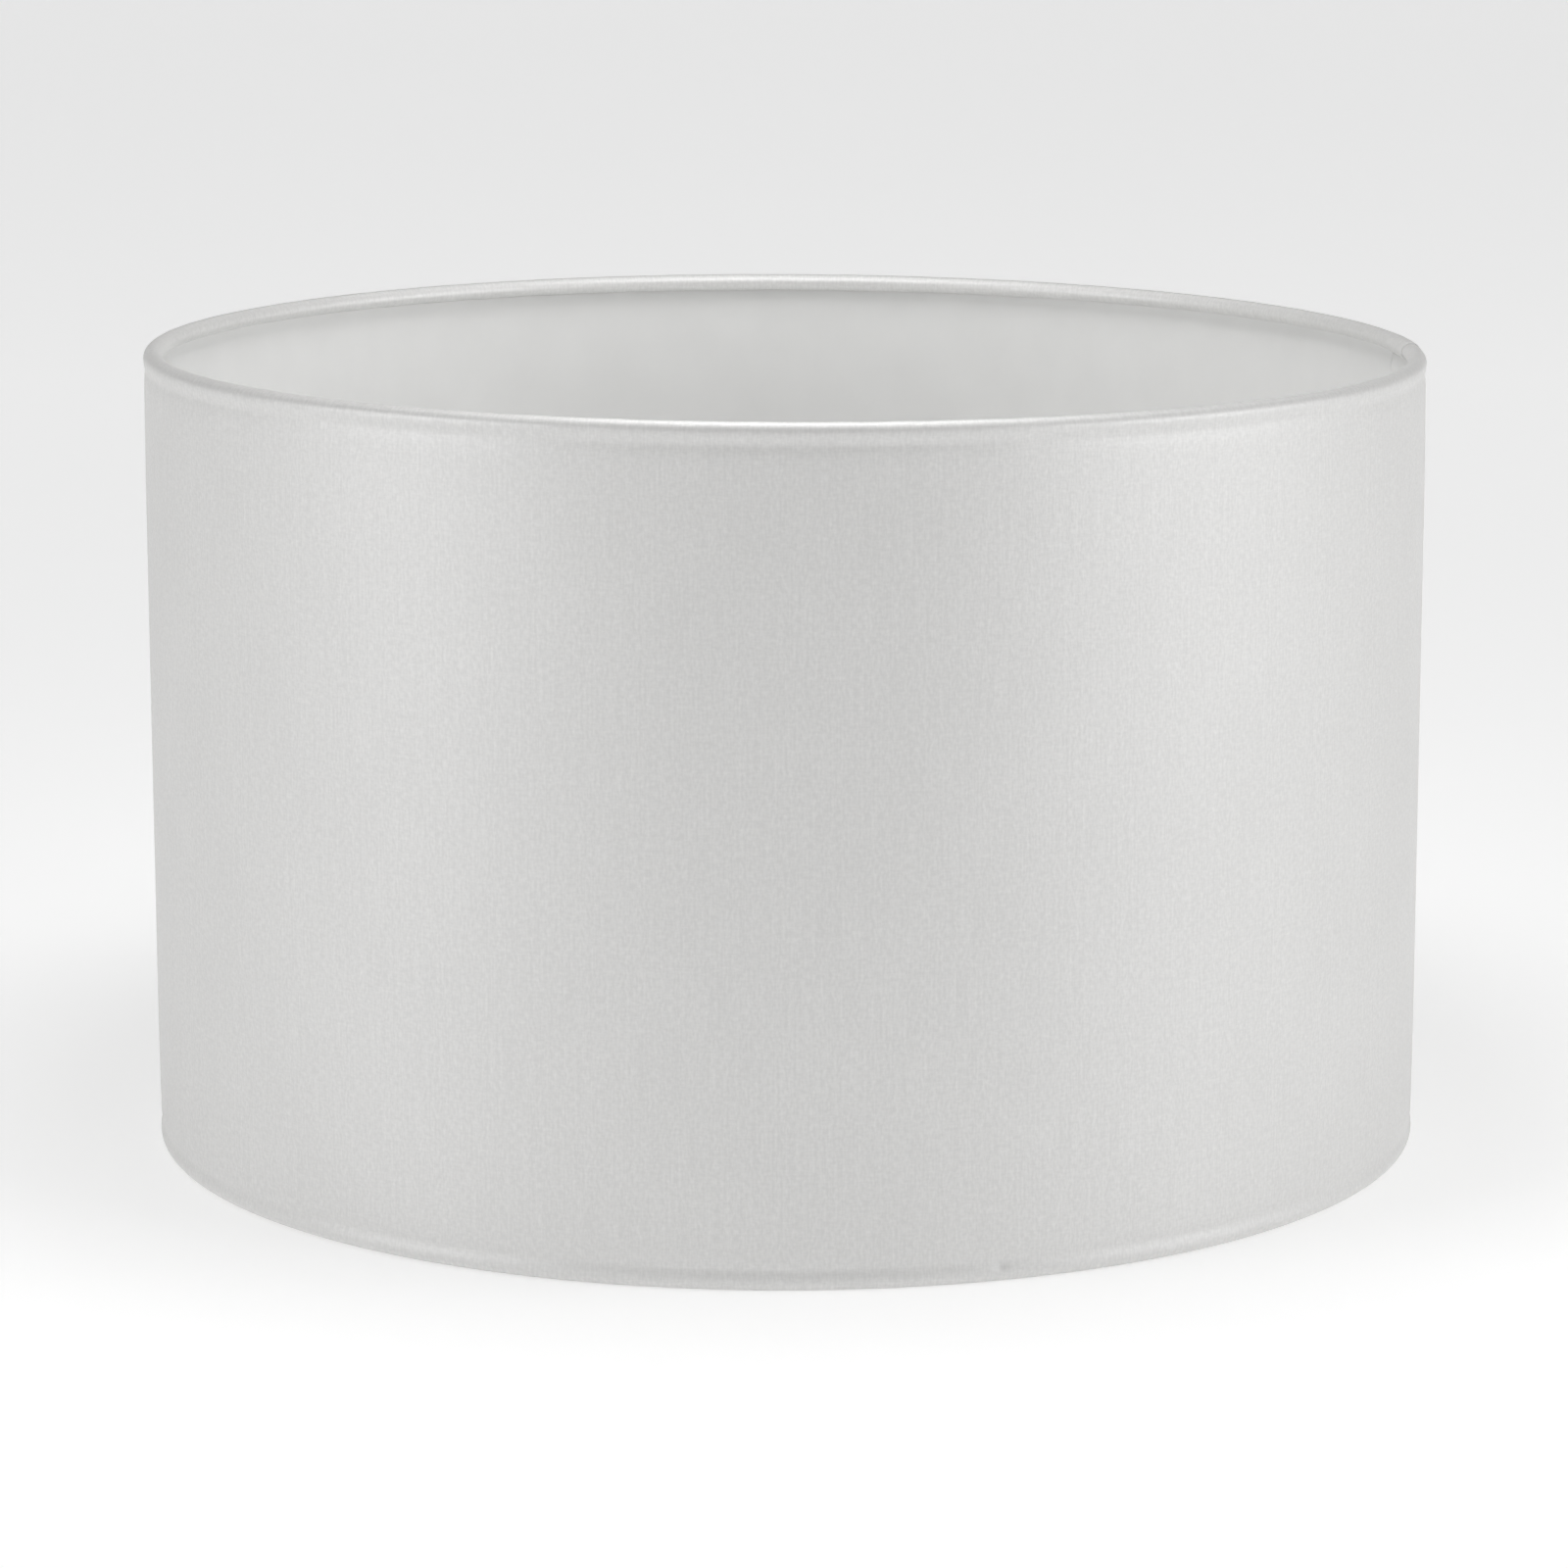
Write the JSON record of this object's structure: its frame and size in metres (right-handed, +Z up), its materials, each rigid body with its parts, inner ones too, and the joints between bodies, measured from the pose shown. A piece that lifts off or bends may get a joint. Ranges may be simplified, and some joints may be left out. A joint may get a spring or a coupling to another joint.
{
  "type": "drum lamp shade",
  "caption": "Straight drum lamp shade in white satin with a plastic lining, rolled hems on wire rings, and a recessed wire-arm fitter with a lift-out reducer.",
  "frame": {"origin": "centre of the shade's round base, on the surface that it stands on", "axes": "+Z up along the drum's axis, -Y to the front as pictured, the seam on the right-hand side near +X"},
  "size_m": [0.4, 0.4, 0.25],
  "materials": {
    "satin": "fine upright slub weave with a soft satin sheen",
    "lining": "smooth opal sheet, low gloss",
    "adhesive_tape": "clear double-sided tape, dull",
    "coated_steel": "white powder coat, satin",
    "reducer_plastic": "moulded, lightly glossy"
  },
  "bodies": {
    "shade": {"cover_fabric": "satin", "lining_panel": "lining", "seam_tape": "adhesive_tape", "top_ring": "coated_steel", "top_ring_tape": "adhesive_tape", "bottom_ring": "coated_steel", "bottom_ring_tape": "adhesive_tape", "fitter_arm_1": "coated_steel", "fitter_arm_2": "coated_steel", "fitter_arm_3": "coated_steel", "fitter_ring": "coated_steel"},
    "reducer": {"reducer_ring": "reducer_plastic"}
  },
  "joints": [
    {"name": "reducer_lift", "type": "slide", "parent": "shade", "child": "reducer", "axis": [0, 0, 1], "range_m": [0, 0.25]}
  ]
}
